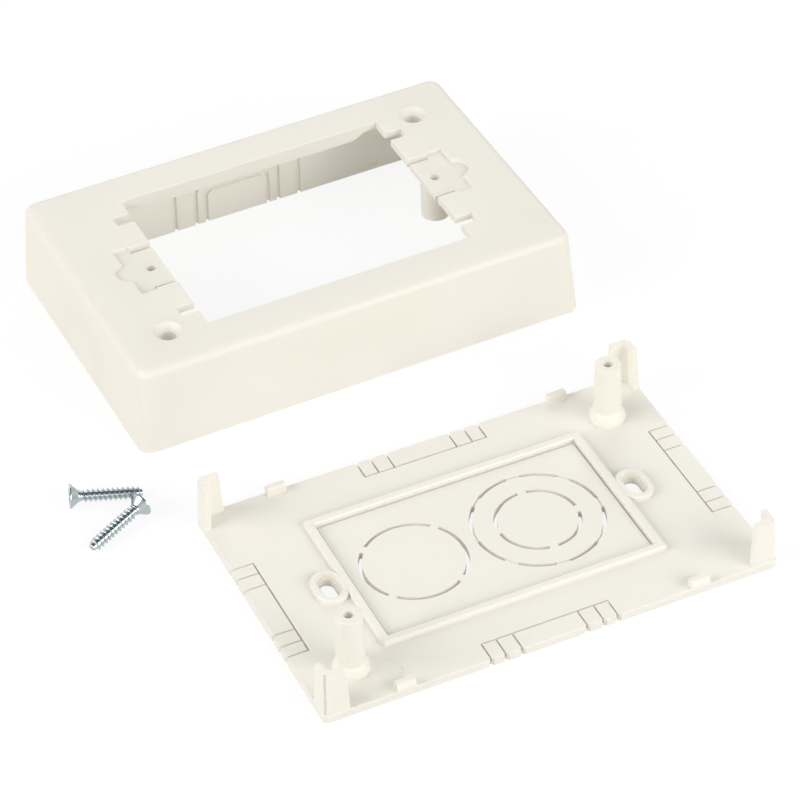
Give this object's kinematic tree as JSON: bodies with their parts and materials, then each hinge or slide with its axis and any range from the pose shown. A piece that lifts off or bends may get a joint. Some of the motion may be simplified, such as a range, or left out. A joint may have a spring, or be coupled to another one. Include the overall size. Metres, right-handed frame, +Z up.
{
  "type": "surface raceway junction box",
  "caption": "Shallow rectangular wall box for surface raceway, taken apart: base with knockouts and screw posts, drafted cover with device opening, and loose cover screws.",
  "frame": {"origin": "centre of the base's back face, on the surface that all four pieces lie on", "axes": "+X along the base towards its ringed double knockout, +Y across the base towards the cover, +Z up, out of the wall when the base is mounted"},
  "size_m": [0.1529, 0.1965, 0.0249],
  "materials": {
    "moulded_plastic": "ivory moulding with a fine even grain",
    "plated_steel": "bright zinc plating"
  },
  "bodies": {
    "root": {"base": "moulded_plastic", "cover": "moulded_plastic", "cover_screw_1": "plated_steel", "cover_screw_2": "plated_steel"}
  },
  "joints": []
}
